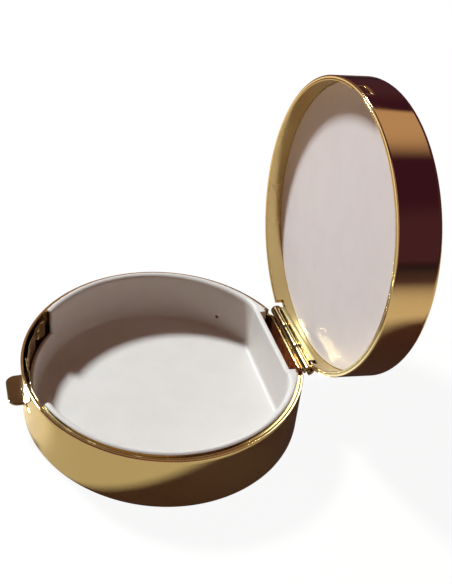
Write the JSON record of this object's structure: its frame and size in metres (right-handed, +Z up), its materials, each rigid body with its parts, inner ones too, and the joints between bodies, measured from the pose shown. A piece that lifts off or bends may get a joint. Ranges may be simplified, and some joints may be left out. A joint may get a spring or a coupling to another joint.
{
  "type": "hinged compact case",
  "caption": "Round gold-plated hinged compact: a shallow case with a white liner tray, a lid with a white inner disc, a barrel hinge and a sprung thumb catch.",
  "frame": {"origin": "centre of the flat underside of the case", "axes": "+Z up, +Y from the centre to the hinge, +X to the right seen from the catch"},
  "size_m": [0.06, 0.0746, 0.0723],
  "materials": {
    "polished_gold": "mirror-polished gold plate on brass",
    "hinge_gold": "gold plate, lightly drawn",
    "spring_gold": "gold-plated spring brass",
    "white_liner": "moulded, soft matte white",
    "white_disc": "satin white",
    "backing_board": "matte board"
  },
  "bodies": {
    "case": {"base_case": "polished_gold", "base_collar": "polished_gold", "liner_tray": "white_liner", "hinge_case_leaf": "hinge_gold", "hinge_pin": "hinge_gold", "catch_studs": "hinge_gold"},
    "catch": {"catch_spring": "spring_gold", "thumb_tab": "polished_gold"},
    "lid": {"lid_case": "polished_gold", "lid_inner_band": "polished_gold", "lid_keeper": "hinge_gold", "lid_disc": "white_disc", "lid_backing_pad": "backing_board", "hinge_lid_leaf": "hinge_gold"}
  },
  "joints": [
    {"name": "lid_hinge", "type": "hinge", "parent": "case", "child": "lid", "pos_m": [0, 0.0292, 0.0132], "axis": [-1, 0, 0], "range_deg": [-93.9, 14]},
    {"name": "catch_press", "type": "hinge", "parent": "case", "child": "catch", "pos_m": [-0.01339, -0.02572, 0.0097], "axis": [0, 0, 1], "range_deg": [0, 3], "stiffness_Nm_per_rad": 1.5}
  ]
}
